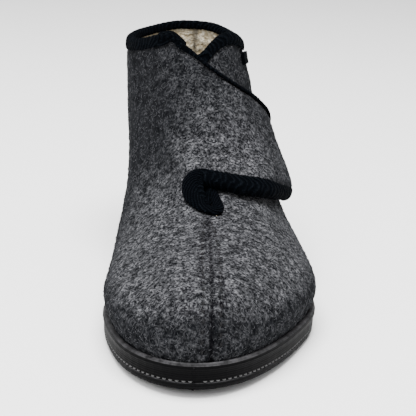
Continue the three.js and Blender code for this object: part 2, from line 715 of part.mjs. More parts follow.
// A binding: a folded tape over an edge, with a leg on each face of the felt
function bindingGeometry(sheet, faces, shift) {
  const open = openEdges(faces);
  const freeEdges = new Set(openEdges(sheet.faces).map(([a, b]) => a + ">" + b));
  const bound = open.filter(([a, b]) => freeEdges.has(a + ">" + b));
  const directions = edgeDirections(sheet, bound);
  const points = [];
  const layer = new Map();
  const used = [...new Set(faces.flatMap((f) => f.corners))];
  // The legs stop a little short of the place where the felt swells again
  const legEnds = new Map();
  for (const { corners } of faces) {
    corners.forEach((v, i) => {
      if (directions.has(v)) return;
      const count = corners.length;
      const beside = [corners[(i + 1) % count], corners[(i + count - 1) % count]];
      legEnds.set(v, [...(legEnds.get(v) || []), ...beside.filter((n) => directions.has(n))]);
    });
  }
  const put = (name, v, point) => {
    layer.set(name + v, points.length);
    points.push(point.add(shift(v)));
  };
  for (const v of used) {
    const out = directions.get(v) || new THREE.Vector3();
    const outer = sheet.outer(v);
    const inner = sheet.inner(v);
    const near = TAPE_GAP;
    const far = TAPE_GAP + TAPE_THICK;
    put("o2", v, sheet.offset(v, outer + far).addScaledVector(out, far * 0.6));
    put("o1", v, sheet.offset(v, outer + near).addScaledVector(out, near));
    put("i1", v, sheet.offset(v, inner - near).addScaledVector(out, near));
    put("i2", v, sheet.offset(v, inner - far).addScaledVector(out, far * 0.6));
    if (directions.has(v)) {
      put("m", v, sheet.offset(v, (outer + inner) / 2).addScaledVector(out, far + TAPE_THICK * 0.5));
    }
  }
  const at = (name, v) => layer.get(name + v);
  for (const [v, near] of legEnds) {
    for (const name of ["o2", "o1", "i1", "i2"]) {
      const end = points[at(name, v)];
      const move = new THREE.Vector3();
      near.forEach((n) => move.add(points[at(name, n)]).sub(end));
      const rolled = sheet.points[v].faceFull && name.startsWith("o");
      end.add(rolled ? move.multiplyScalar(ROLL / near.length) : move.setLength(LEG_INSET));
    }
  }
  const polygons = [];
  for (const { corners } of faces) {
    for (const name of ["o2", "i1"]) polygons.push(corners.map((v) => at(name, v)));
    for (const name of ["o1", "i2"]) polygons.push(turned(corners.map((v) => at(name, v))));
  }
  const boundSet = new Set(bound.map(([a, b]) => a + ">" + b));
  const wall = (a, b, high, low) => [at(high, b), at(high, a), at(low, a), at(low, b)];
  for (const [a, b] of open) {
    if (boundSet.has(a + ">" + b)) {
      polygons.push(wall(a, b, "o2", "m"), wall(a, b, "m", "i2"), wall(a, b, "i1", "o1"));
    } else {
      polygons.push(wall(a, b, "o2", "o1"), wall(a, b, "i1", "i2"));
    }
  }
  // The cut ends of the tape close the fold where the bound edge stops
  const starts = new Set(bound.map(([a]) => a));
  const ends = new Set(bound.map(([, b]) => b));
  for (const v of directions.keys()) {
    const cap = [at("o2", v), at("m", v), at("i2", v), at("i1", v), at("o1", v)];
    if (starts.has(v) && !ends.has(v)) polygons.push([...cap].reverse());
    if (ends.has(v) && !starts.has(v)) polygons.push(cap);
  }
  return geometryFrom(points, polygons);
}

// Outline of the sole: pairs of points across the shoe, from heel to toe, moved out
const soleRing = (() => {
  const ring = [];
  const start = backAt(0);
  for (let i = 0; i < SOLE_STEPS * 2; i += 1) {
    const angle = (Math.PI * i) / SOLE_STEPS;
    const a = mix(start, LENGTH, (1 - Math.cos(angle)) / 2);
    const side = i <= SOLE_STEPS ? 1 : -1;
    const half = i === 0 || i === SOLE_STEPS ? 0 : halfWidth(a, rimAt(a));
    ring.push({ a, x: centreAt(a, 0) + side * half, y: LENGTH / 2 - a });
  }
  const count = ring.length;
  ring.forEach((p, i) => {
    const before = ring[(i + count - 1) % count];
    const after = ring[(i + 1) % count];
    const length = Math.hypot(after.x - before.x, after.y - before.y);
    p.out = [(before.y - after.y) / length, (after.x - before.x) / length];
  });
  return ring;
})();

const ringPoint = (p, out, z) => new THREE.Vector3(p.x + p.out[0] * out, p.y + p.out[1] * out, z);

// A solid whose levels all follow the sole's outline, closed by strips across the shoe
function ringGeometry(levels) {
  const count = soleRing.length;
  const points = [];
  levels.forEach((level) => soleRing.forEach((p) => points.push(ringPoint(p, level.out(p.a), level.z(p.a)))));
  const polygons = [];
  for (let l = 0; l < levels.length - 1; l += 1) {
    for (let i = 0; i < count; i += 1) {
      const j = (i + 1) % count;
      polygons.push([l * count + j, l * count + i, (l + 1) * count + i, (l + 1) * count + j]);
    }
  }
  const top = (levels.length - 1) * count;
  for (let i = 0; i < SOLE_STEPS; i += 1) {
    const left = (count - i) % count;
    const nextLeft = count - i - 1;
    const strip = [i, left, nextLeft, i + 1].filter((v, k, all) => v !== all[(k + 1) % all.length]);
    const once = [...new Set(strip)];
    polygons.push([...once].reverse());
    polygons.push(once.map((v) => v + top));
  }
  return geometryFrom(points, polygons);
}

// Side of the sole from the floor up to the rim: out as a share of its reach, heights
// as shares of the stitch groove's level and width, then of the lip's height, downwards
const SOLE_SIDE = [
  { out: 0.1, foot: 0.0 },
  { out: 0.62, foot: 0.2 },
  { out: 0.88, foot: 0.55 },
  { out: 0.96, foot: 1.0 },
  { out: 0.74, foot: 1.0, groove: 0.25 },
  { out: 0.74, foot: 1.0, groove: 0.75 },
  { out: 0.98, foot: 1.0, groove: 1.0 },
  { out: 1.0, lip: 1.15 },
  { out: 1.12, lip: 0.8 },
  { out: 1.25, lip: 0.5 },
  { out: 1.15, lip: 0.2 },
  { out: 0.8, lip: 0.0 },
];
function soleGeometry() {
  const rings = SOLE_SIDE.map(({ out, foot, groove = 0, lip }) => ({
    out: () => out * RIM_OUT,
    z: (a) =>
      lip === undefined
        ? floorAt(a) + foot * STITCH_LEVEL + groove * STITCH_WIDTH
        : rimAt(a) - lip * LIP_HEIGHT,
  }));
  return ringGeometry([
    ...rings,
    { out: () => RIM_GAP, z: rimAt },
    { out: () => RIM_GAP, z: seatAt },
  ]);
}

const wasm = await Module();
wasm.setup();

function toSolid(geometry) {
  const plain = geometry.clone();
  plain.deleteAttribute("normal");
  plain.deleteAttribute("uv");
  const merged = mergeVertices(plain, 1e-3);
  return new wasm.Manifold(
    new wasm.Mesh({
      numProp: 3,
      vertProperties: merged.attributes.position.array,
      triVerts: new Uint32Array(merged.index.array),
    }),
  );
}

function toGeometry(solid) {
  const mesh = solid.getMesh();
  const positions = new Float32Array(mesh.numVert * 3);
  for (let i = 0; i < mesh.numVert; i += 1) {
    positions.set(mesh.vertProperties.subarray(i * mesh.numProp, i * mesh.numProp + 3), i * 3);
  }
  const geometry = new THREE.BufferGeometry();
  geometry.setAttribute("position", new THREE.BufferAttribute(positions, 3));
  geometry.setIndex(new THREE.BufferAttribute(new Uint32Array(mesh.triVerts), 1));
  return geometry;
}

// Cross grooves of the tread, under the heel and under the forefoot
const TREAD_ZONES = [
  { from: 0.045, to: 0.26 },
  { from: 0.55, to: 0.93 },
];
function cutTread(body) {
  const inset = ringGeometry([
    { out: () => -TREAD_BORDER, z: () => -TREAD_DEPTH },
    { out: () => -TREAD_BORDER, z: (a) => floorAt(a) + TREAD_DEPTH },
  ]);
  const core = toSolid(inset);
  let cut = body;
  for (const zone of TREAD_ZONES) {
    const run = (zone.to - zone.from) * LENGTH;
    const count = Math.floor((run + TREAD_BAR) / (TREAD_BAR + TREAD_GAP));
    for (let i = 0; i < count; i += 1) {
      const a = zone.from * LENGTH + (i + 0.5) * (run / count);
      const slab = new THREE.BoxGeometry(BALL_WIDTH * 2, TREAD_GAP, RIM_HEIGHT * 4);
      slab.translate(0, LENGTH / 2 - a, 0);
      cut = cut.subtract(toSolid(slab).intersect(core));
    }
  }
  return cut;
}

function insoleGeometry() {
  const out = () => -WALL - INSOLE_GAP;
  return ringGeometry([
    { out, z: (a) => seatAt(a) + FIT },
    { out, z: (a) => seatAt(a) + FIT + INSOLE_THICK - EDGE_BEVEL },
    { out: () => -WALL - INSOLE_GAP - EDGE_BEVEL, z: (a) => seatAt(a) + FIT + INSOLE_THICK },
  ]);
}

// The small plain tab sewn under the collar on the outer side
const TAB_ROUND = 0.3;
function tabGeometry() {
  const sheet = new Sheet();
  const edge = collarLateral(TAB_ROUND) + COLLAR_TAPE + STEP_RUN;
  const steps = 3;
  for (let r = 0; r <= steps; r += 1) {
    for (let c = 0; c <= steps; c += 1) {
      const depth = edge + (TAB_HEIGHT * (steps - r)) / steps;
      const across = acrossAt(depth, TAB_ROUND) + (TAB_WIDTH * c) / steps;
      sheet.add(key("T", c, r), surfacePoint(depth, roundAt(depth, across)), 0);
    }
  }
  for (let r = 0; r < steps; r += 1) {
    for (let c = 0; c < steps; c += 1) {
      sheet.face("tab", [key("T", c, r), key("T", c + 1, r), key("T", c + 1, r + 1), key("T", c, r + 1)], "");
    }
  }
  sheet.finish();
  return wallGeometry(
    sheet,
    sheet.faces,
    (v) => sheet.offset(v, FIT + TAB_THICK),
    (v) => sheet.offset(v, FIT),
  );
}

const sheet = buildSheet();
addUpperFaces(sheet);
addFlap(sheet);
sheet.finish();

const felt = (piece) => sheet.faces.filter((f) => f.piece === piece);
const banded = (band) => sheet.faces.filter((f) => f.band === band);
const outerFace = (v) => sheet.offset(v, sheet.outer(v));
const innerFace = (v) => sheet.offset(v, sheet.inner(v));

// The flap's root stands off the medial quarter by the fit clearance
const rootShift = new Map();
for (let r = NOTCH_ROW; r <= LAST_ROW; r += 1) {
  const root = sheet.at(key("F", 0, r));
  const next = sheet.points[sheet.at(key("F", 1, r))].point;
  rootShift.set(root, new THREE.Vector3().subVectors(next, sheet.points[root].point).setLength(FIT));
}
const rootMove = (v) => rootShift.get(v) || new THREE.Vector3();
const tapeEnd = new Map(
  [LAST_ROW - 1, LAST_ROW].map((r) => [sheet.at(key("F", 0, r)), rootShift.get(sheet.at(key("F", 0, r)))]),
);
const tapeMove = (v) => tapeEnd.get(v) || new THREE.Vector3();

function material(color, roughness) {
  return new THREE.MeshStandardMaterial({ color, roughness, metalness: 0, side: THREE.DoubleSide });
}
const feltGrey = material(0x3f4145, 0.95);
const tapeBlack = material(0x14161a, 0.85);
const rubber = material(0x232426, 0.6);
const wool = material(0xc9bda3, 0.95);

const group = new THREE.Group();
function addPiece(name, geometry, look) {
  geometry.computeVertexNormals();
  const mesh = new THREE.Mesh(geometry, look);
  mesh.name = name;
  group.add(mesh);
}

addPiece("outsole", toGeometry(cutTread(toSolid(soleGeometry()))), rubber);
addPiece("insole", insoleGeometry(), wool);
addPiece("upper", wallGeometry(sheet, felt("upper"), outerFace, innerFace), feltGrey);
addPiece(
  "closure_flap",
  wallGeometry(
    sheet,
    felt("flap"),
    (v) => outerFace(v).add(rootMove(v)),
    (v) => innerFace(v).add(rootMove(v)),
  ),
  feltGrey,
);
addPiece("collar_binding", bindingGeometry(sheet, banded("collar"), () => new THREE.Vector3()), tapeBlack);
addPiece("flap_binding", bindingGeometry(sheet, banded("flap"), tapeMove), tapeBlack);
addPiece("side_tab", tabGeometry(), tapeBlack);

// The origin is the middle of the shoe's own box, on the floor
const bounds = new THREE.Box3().setFromObject(group);
const middle = bounds.getCenter(new THREE.Vector3());
group.position.set(-middle.x, -middle.y, -bounds.min.z);

export default group;
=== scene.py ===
"""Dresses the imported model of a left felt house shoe: felt, knitted tapes, pile lining and moulded sole.

Metres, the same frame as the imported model: Z up, the toe towards -Y, the outer side of the foot towards +X.
"""

import heapq
import math

import bmesh
import bpy
import numpy as np
from mathutils import Matrix, Vector
from mathutils.bvhtree import BVHTree
from mathutils.kdtree import KDTree


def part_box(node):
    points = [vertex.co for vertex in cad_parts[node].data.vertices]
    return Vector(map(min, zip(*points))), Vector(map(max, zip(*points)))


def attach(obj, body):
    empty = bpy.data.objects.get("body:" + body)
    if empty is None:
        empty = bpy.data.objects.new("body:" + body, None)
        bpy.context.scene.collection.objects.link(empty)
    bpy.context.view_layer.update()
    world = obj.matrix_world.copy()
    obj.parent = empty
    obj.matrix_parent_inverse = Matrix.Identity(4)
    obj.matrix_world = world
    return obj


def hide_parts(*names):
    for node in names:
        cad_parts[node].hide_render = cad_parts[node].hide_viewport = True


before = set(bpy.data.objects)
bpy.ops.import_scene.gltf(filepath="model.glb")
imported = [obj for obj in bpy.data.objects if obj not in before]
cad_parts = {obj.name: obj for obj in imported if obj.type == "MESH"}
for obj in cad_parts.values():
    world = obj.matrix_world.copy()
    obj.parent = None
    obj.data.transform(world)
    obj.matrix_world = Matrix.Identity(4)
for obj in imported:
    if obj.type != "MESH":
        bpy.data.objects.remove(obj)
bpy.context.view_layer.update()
MM = 0.001
RANDOM = np.random.default_rng(41)

# Camera: where the photograph was taken from, fitted to the shoe's silhouette
VIEW_TARGET = Vector((3.929, 0.118, 47.15)) * MM
VIEW_DISTANCE = 624.47 * MM
VIEW_AZIMUTH = math.radians(-7.4)
VIEW_ELEVATION = math.radians(17.43)
VIEW_ROLL = math.radians(2.42)
VIEW_LENS = 96.31

# Felt
FELT_LEVELS = 2
FIT_WELD = 0.02 * MM  # points of one solid that are this near are one point
ROOT_WELD = 0.45 * MM  # the flap's root is this near the quarter that it is cut in one with
QUAD_ANGLE = math.radians(28)  # two triangles this near to flat are joined
QUAD_SHAPE = math.radians(65)
SHARP_EDGE = math.radians(52)
FELT_NAP = 0.16 * MM
PAINTED_LIGHT_FROM = 0.38  # how far up a face has to look before more light fibres show on it: painted light, as if lit by the lamps above
PAINTED_LIGHT_OVER = 0.42
FELT_SEED = (-0.005, -0.09, 0.055)  # a point on the outside of the vamp, and one on the lining
LINING_SEED = (-0.03, 0.09, 0.08)
VAMP_FROM = -47 * MM
SEAM_PATH = [(-9.5, -137.5), (-8.6, -126), (-5.6, -95), (-3, -61), (-2.6, -46)]
SEAM_DEPTH = 0.9 * MM
SEAM_WIDTH = 1.15 * MM
STITCH_ROW = 4.2 * MM  # from the seam to a row of stitches, where they are widest apart
STITCH_PITCH = 4.7 * MM
STITCH_LENGTH = 3.0 * MM
STITCH_RADIUS = 0.55 * MM
STITCH_SINK = 0.9 * MM  # how deep a stitch pulls the felt in
STITCH_DIMPLE = 1.3 * MM
ROW_START, ROW_END = -51 * MM, -136.5 * MM
ROWS_MEET = -49 * MM
ROWS_OPEN_OVER = 32 * MM
ROW_GAP = 0.8 * MM  # from the seam to a row where the rows meet
ROW_FOOT = 20.5 * MM  # the rows end this high over the floor, at the toe
BACK_SEAM_X = 6.8 * MM
BACK_SEAM_FROM = 100 * MM
BACK_SEAM_WIDTH = 1.5 * MM

# Loose fibres that lie on a surface: how many, how long and how thick
FELT_FIBRES = (13000, 1.9 * MM, 0.075 * MM)
PILE_FIBRES = (9000, 2.6 * MM, 0.11 * MM)

# Tapes
TAPE_LEVELS = 3
RIB_PITCH = 1.7 * MM
RIB_HEIGHT = 0.13 * MM
RIB_SLANT = 0.55
TAPE_BIN = 4 * MM  # the length of tape that gives one point of its middle line
# The collar tape's inner leg is pushed up by the pile round the back: where that starts, how high over the
# middle line, over what width, and how much of the leg is kept
LEG_FROM = 45 * MM
LEG_OVER = 20 * MM
LEG_TOP = 1.5 * MM
LEG_SIDE = 1.0 * MM
INNER_LEG = 0.5
# Bands of tape, as points in mm with the band's width there: the flap's tape turns round the end of the slit
# and runs back up under the flap, backs the slit, and joins the collar's tape at the flap's root. The band that
# backs the slit is partly tape and partly a dark sheet standing in for the shade inside the slit
HOOK_BAND = [
    (-3.0, -20.6, 73.4, 6.0), (-7.0, -21.6, 72.0, 7.6), (-9.6, -25.2, 69.3, 8.8), (-9.9, -30.2, 65.5, 8.6),
    (-7.8, -35.3, 62.6, 8.0), (-4.0, -40.2, 60.3, 7.2), (0.8, -42.8, 59.3, 7.4), (4.0, -40.2, 59.5, 6.6),
    (4.0, -34.5, 61.2, 5.6), (3.4, -28.5, 62.8, 5.0), (2.6, -22.5, 65.0, 4.6),
]
# Partly a tape on the slit's edge and partly a dark sheet put where the slit is in shade
SLIT_TAPE_AND_SHADE = [
    (-1.3, -39.5, 58.8, 8.0), (-1.2, -34.0, 60.4, 9.0), (-0.8, -28.0, 61.8, 9.0), (-0.5, -22.0, 63.6, 9.0),
    (-0.2, -17.0, 66.5, 8.0),
]
JOINT_BAND = [(-22.5, 39.0, 136.6, 7.6), (-16.4, 33.4, 138.0, 8.4), (-9.5, 29.6, 132.6, 7.6)]
HOOK_THICK = 3.4
SLIT_THICK = 2.4
JOINT_THICK = 5.6

# Sole: its rise towards the toe and at the arch, and the groove with the moulded stitches
SOLE_LENGTH = 0.274
SOLE_BACK = 0.1371
TOE_SPRING = 4.0 * MM
ARCH_RISE = 3.0 * MM
STITCH_LEVEL = 4.75 * MM
SOLE_STITCH_PITCH = 3.1 * MM
SOLE_STITCH_LENGTH = 2.3 * MM
SOLE_STITCH_RADIUS = 0.5 * MM
SIDE_GROOVE_PITCH = 1.1 * MM
PARTING_X = -17.6 * MM
PARTING_FOOT, PARTING_TOP = 3.5 * MM, 16.5 * MM
FAR = 0.2  # a ray cast at the shoe starts this far from its middle


# Shapes
def linked(name, mesh):
    piece = bpy.data.objects.new(name, mesh)
    bpy.context.scene.collection.objects.link(piece)
    return piece


def new_piece(name, vertices, faces):
    mesh = bpy.data.meshes.new(name)
    mesh.from_pydata([tuple(v) for v in vertices], [], [tuple(f) for f in faces])
    mesh.validate()
    mesh.shade_smooth()
    return linked(name, mesh)


def coordinates(mesh):
    points = np.empty(len(mesh.vertices) * 3)
    mesh.vertices.foreach_get("co", points)
    return points.reshape(-1, 3)


def set_coordinates(mesh, points):
    mesh.vertices.foreach_set("co", np.ascontiguousarray(points, dtype=np.float32).ravel())
    mesh.update()


def normals(mesh):
    values = np.empty(len(mesh.vertices) * 3)
    mesh.vertices.foreach_get("normal", values)
    return values.reshape(-1, 3)


def near_tree(points):
    tree = KDTree(len(points))
    for i, p in enumerate(points):
        tree.insert(p, i)
    tree.balance()
    return tree


def ray_tree(piece):
    return BVHTree.FromObject(piece, bpy.context.evaluated_depsgraph_get())


def hits(tree, rays):
    """The places where rays, each a start and a direction, meet a surface."""
    found = (tree.ray_cast(Vector(start), Vector(direction))[0] for start, direction in rays)
    return [list(hit) for hit in found if hit]


def cage_of(*names):
    """One cage of the named solids."""
    cage = bmesh.new()
    for name in names:
        cage.from_mesh(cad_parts[name].data)
    bmesh.ops.remove_doubles(cage, verts=cage.verts, dist=FIT_WELD)
    return cage


def piece_of(name, cage):
    mesh = bpy.data.meshes.new(name)
    cage.to_mesh(mesh)
    cage.free()
    return linked(name, mesh)


def weld_flap_root(cage):
    """Joins the flap to the quarter across the fit gap, and takes out the faces shut in between."""
    cage.verts.ensure_lookup_table()
    islands = {}
    for start in cage.verts:
        if start in islands:
            continue
        number, pending = len(set(islands.values())), [start]
        islands[start] = number
        while pending:
            for edge in pending.pop().link_edges:
                for v in edge.verts:
                    if v not in islands:
                        islands[v] = number
                        pending.append(v)
    tree = near_tree([v.co for v in cage.verts])
    targets = {}
    for v in cage.verts:
        if islands[v] == 0:
            continue
        for _, index, _ in tree.find_range(v.co, ROOT_WELD):
            other = cage.verts[index]
            if islands[other] == 0:
                targets[v] = other
                break
    welded = set(targets.values())
    bmesh.ops.weld_verts(cage, targetmap=targets)
    inner = [f for f in cage.faces if all(v in welded for v in f.verts)]
    shut = [f for f in inner if any(len(e.link_faces) > 2 for e in f.edges)]
    bmesh.ops.delete(cage, geom=shut, context="FACES")


def join_quads(cage):
    bmesh.ops.join_triangles(
        cage,
        faces=cage.faces,
        angle_face_threshold=QUAD_ANGLE,
        angle_shape_threshold=QUAD_SHAPE,
    )


def flood(cage, seed):
    """The faces that are reached from the face nearest to seed without crossing a sharp edge."""
    start = min(cage.faces, key=lambda f: (f.calc_center_median() - Vector(seed)).length)
    found, pending = {start}, [start]
    while pending:
        face = pending.pop()
        for edge in face.edges:
            if len(edge.link_faces) != 2 or edge.calc_face_angle() > SHARP_EDGE:
                continue
            for other in edge.link_faces:
                if other not in found:
                    found.add(other)
                    pending.append(other)
    return found


def subdivided(piece, levels):
    modifier = piece.modifiers.new("round", "SUBSURF")
    modifier.levels = levels
    modifier.render_levels = levels
    depsgraph = bpy.context.evaluated_depsgraph_get()
    mesh = bpy.data.meshes.new_from_object(piece.evaluated_get(depsgraph))
    piece.modifiers.clear()
    piece.data = mesh
    mesh.shade_smooth()


def relaxed(mesh, passes, push=0.52, pull=-0.54):
    """Evens out a mesh without shrinking it."""
    edges = np.empty(len(mesh.edges) * 2, dtype=np.int32)
    mesh.edges.foreach_get("vertices", edges)
    a, b = edges.reshape(-1, 2).T
    points = coordinates(mesh)
    count = np.bincount(a, minlength=len(points)) + np.bincount(b, minlength=len(points))
    for step in range(passes * 2):
        around = np.zeros_like(points)
        for k in range(3):
            around[:, k] = np.bincount(a, points[b, k], len(points)) + np.bincount(b, points[a, k], len(points))
        move = (around / count[:, None] - points) * (push if step % 2 == 0 else pull)
        points = points + move
    set_coordinates(mesh, points)


def rounded_path(points, steps=6):
    """Catmull-Rom curve through the points."""
    p = np.array(points, float)
    p = np.vstack([2 * p[0] - p[1], p, 2 * p[-1] - p[-2]])
    out = []
    for i in range(1, len(p) - 2):
        for t in np.arange(steps) / steps:
            out.append(
                0.5
                * (
                    2 * p[i]
                    + (p[i + 1] - p[i - 1]) * t
                    + (2 * p[i - 1] - 5 * p[i] + 4 * p[i + 1] - p[i + 2]) * t * t
                    + (3 * p[i] - p[i - 1] - 3 * p[i + 1] + p[i + 2]) * t**3
                )
            )
    out.append(p[-2])
    return np.array(out)


def spaced(path, pitch):
    """Points along a path at one pitch, and the direction there."""
    step = np.linalg.norm(np.diff(path, axis=0), axis=1)
    length = np.concatenate([[0], np.cumsum(step)])
    places = np.arange(pitch / 2, length[-1], pitch)
    points = np.stack([np.interp(places, length, path[:, k]) for k in range(3)], 1)
    ahead = np.stack([np.interp(places + pitch * 0.2, length, path[:, k]) for k in range(3)], 1)
    behind = np.stack([np.interp(places - pitch * 0.2, length, path[:, k]) for k in range(3)], 1)
    direction = ahead - behind
    return points, direction / np.linalg.norm(direction, axis=1)[:, None]


def stitches(name, points, directions, ups, length, radius, sides=8, rings=5):
    """One piece of many small threads, each a bowed capsule that dips into the material at both ends."""
    vertices, faces = [], []
    for point, along, up in zip(points, directions, ups):
        across = np.cross(up, along)
        across /= np.linalg.norm(across)
        first = len(vertices)
        for r in range(rings + 1):
            t = r / rings
            size = radius * max(math.sin(math.pi * (0.06 + 0.88 * t)), 0.2) ** 0.5
            middle = point + along * length * (t - 0.5) + up * radius * (math.sin(math.pi * t) * 1.3 - 0.9)
            for s in range(sides):
                angle = 2 * math.pi * s / sides
                vertices.append(middle + across * math.cos(angle) * size + up * math.sin(angle) * size)
        for r in range(rings):
            for s in range(sides):
                a = first + r * sides + s
                b = first + r * sides + (s + 1) % sides
                faces.append((a, b, b + sides, a + sides))
        faces.append(tuple(first + s for s in reversed(range(sides))))
        faces.append(tuple(first + rings * sides + s for s in range(sides)))
    return new_piece(name, vertices, faces)


def swept(name, path, ups, widths, heights, sides):
    """A rounded band along a path, lying flat on the surface whose normals are the ups."""
    vertices, faces = [], []
    rows = len(path)
    for r in range(rows):
        along = path[min(r + 1, rows - 1)] - path[max(r - 1, 0)]
        across = np.cross(ups[r], along)
        across /= np.linalg.norm(across)
        for s in range(sides):
            angle = 2 * math.pi * s / sides
            side, rise = math.cos(angle), math.sin(angle)
            vertices.append(path[r] + across * widths[r] / 2 * side + ups[r] * heights[r] / 2 * rise)
    for r in range(rows - 1):
        for s in range(sides):
            a, b = r * sides + s, r * sides + (s + 1) % sides
            faces.append((a, b, b + sides, a + sides))
    faces.append(tuple(reversed(range(sides))))
    faces.append(tuple((rows - 1) * sides + s for s in range(sides)))
    return new_piece(name, vertices, faces)


def loose_fibres(name, mesh, wanted, count, length, radius):
    """One piece of short curved threads, scattered over the wanted faces of a mesh by their area."""
    mesh.calc_loop_triangles()
    corners = np.empty(len(mesh.loop_triangles) * 3, dtype=np.int32)
    mesh.loop_triangles.foreach_get("vertices", corners)
    owners = np.empty(len(mesh.loop_triangles), dtype=np.int32)
    mesh.loop_triangles.foreach_get("polygon_index", owners)
    triangles = coordinates(mesh)[corners.reshape(-1, 3)[wanted[owners]]]
    cross = np.cross(triangles[:, 1] - triangles[:, 0], triangles[:, 2] - triangles[:, 0])
    area = np.linalg.norm(cross, axis=1)
    chosen = RANDOM.choice(len(area), count, p=area / area.sum())
    a, b = RANDOM.random((2, count, 1))
    a, b = np.where(a + b > 1, 1 - a, a), np.where(a + b > 1, 1 - b, b)
    base = triangles[chosen, 0] * (1 - a - b) + triangles[chosen, 1] * a + triangles[chosen, 2] * b
    up = cross[chosen] / area[chosen, None]
    along = np.cross(up, RANDOM.normal(0, 1, (count, 3)))
    along /= np.linalg.norm(along, axis=1)[:, None]
    across = np.cross(up, along)
    size = length * RANDOM.uniform(0.5, 1.3, (count, 1))
    curl = RANDOM.uniform(-0.7, 0.7, (count, 1))
    rings = []
    for t, thick, rise in ((0.0, 0.7, -0.3), (0.35, 1.0, 1.6), (0.7, 0.9, 1.9), (1.0, 0.3, 0.6)):
        middle = base + along * size * (t - 0.5) + across * size * curl * (t - t * t) + up * radius * rise
        for s in range(3):
            angle = 2 * math.pi * s / 3
            rings.append(middle + (across * math.cos(angle) + up * math.sin(angle)) * radius * thick)
    points = np.stack(rings, 1).reshape(-1, 3)
    pattern = []
    for r in range(3):
        for s in range(3):
            a0, b0 = r * 3 + s, r * 3 + (s + 1) % 3
            pattern.append((a0, b0, b0 + 3, a0 + 3))
    faces = (np.arange(count)[:, None, None] * 12 + np.array(pattern)).reshape(-1, 4)
    return new_piece(name, points, faces)


# Materials
def group_of(name, inputs, outputs):
    group = bpy.data.node_groups.new(name, "ShaderNodeTree")
    for title, kind, value in inputs:
        socket = group.interface.new_socket(name=title, in_out="INPUT", socket_type=kind)
        socket.default_value = value
    for title, kind in outputs:
        group.interface.new_socket(name=title, in_out="OUTPUT", socket_type=kind)
    return group


def add(tree, kind, links=(), **values):
    """Adds a node, sets its fields and its inputs, and links inputs to (node, output) pairs."""
    node = tree.nodes.new(kind)
    for key, value in values.items():
        if hasattr(node, key):
            setattr(node, key, value)
        else:
            node.inputs[key.replace("_", " ")].default_value = value
    for socket, (source, output) in dict(links).items():
        tree.links.new(source.outputs[output], node.inputs[socket])
    return node


def wool_group():
    """Wool fibres: a mottled mask of light fibres and the height of the nap."""
    group = group_of(
        "wool_fibres",
        [("Scale", "NodeSocketFloat", 900.0), ("Stretch", "NodeSocketVector", (1.0, 1.0, 1.0))],
        [("Light", "NodeSocketFloat"), ("Patch", "NodeSocketFloat"), ("Height", "NodeSocketFloat")],
    )
    inside = add(group, "NodeGroupInput")
    place = add(group, "ShaderNodeTexCoord")
    ends = {0: (place, "Object"), 1: (inside, "Stretch")}
    stretched = add(group, "ShaderNodeVectorMath", ends, operation="MULTIPLY")
    bend = add(group, "ShaderNodeTexNoise", {"Vector": (stretched, 0)}, Scale=420.0, Detail=2.0)
    shifted = add(group, "ShaderNodeVectorMath", {0: (bend, "Color")}, operation="SCALE")
    shifted.inputs["Scale"].default_value = 0.0024
    moved = add(group, "ShaderNodeVectorMath", {0: (stretched, 0), 1: (shifted, 0)}, operation="ADD")
    ends = {"Vector": (moved, 0), "Scale": (inside, "Scale")}
    fibres = add(group, "ShaderNodeTexNoise", ends, Detail=2.0, Roughness=0.6)
    light = add(group, "ShaderNodeMapRange", {"Value": (fibres, 0)}, From_Min=0.47, From_Max=0.66)
    ends = {"Vector": (place, "Object")}
    patches = add(group, "ShaderNodeTexNoise", ends, Scale=210.0, Detail=4.0, Roughness=0.65)
    patch = add(group, "ShaderNodeMapRange", {"Value": (patches, 0)}, From_Min=0.38, From_Max=0.6)
    out = add(group, "NodeGroupOutput")
    group.links.new(light.outputs[0], out.inputs["Light"])
    group.links.new(patch.outputs[0], out.inputs["Patch"])
    group.links.new(fibres.outputs[0], out.inputs["Height"])
    return group


def new_material(name, roughness, specular, sheen=0.0, sheen_tint=(1, 1, 1, 1)):
    material = bpy.data.materials.new(name)
    material.use_nodes = True
    tree = material.node_tree
    shader = tree.nodes["Principled BSDF"]
    shader.inputs["Roughness"].default_value = roughness
    shader.inputs["Sheen Weight"].default_value = sheen
    shader.inputs["Sheen Roughness"].default_value = 0.5
    shader.inputs["Sheen Tint"].default_value = sheen_tint
    shader.inputs["Specular IOR Level"].default_value = specular
    return material, tree, shader


def mixed(tree, factor, low, high):
    """A colour between low and high."""
    node = add(tree, "ShaderNodeMix", data_type="RGBA")
    for index, colour in ((6, low), (7, high)):
        if isinstance(colour, tuple) and isinstance(colour[0], bpy.types.Node):
            tree.links.new(colour[0].outputs[colour[1]], node.inputs[index])
        else:
            node.inputs[index].default_value = colour
    tree.links.new(factor[0].outputs[factor[1]], node.inputs[0])
    return node


def bump(tree, shader, height, strength, distance):
    node = add(tree, "ShaderNodeBump", {"Height": height}, Strength=strength, Distance=distance)
    tree.links.new(node.outputs[0], shader.inputs["Normal"])
    return node


def attribute(tree, name):
    return add(tree, "ShaderNodeAttribute", attribute_name=name)


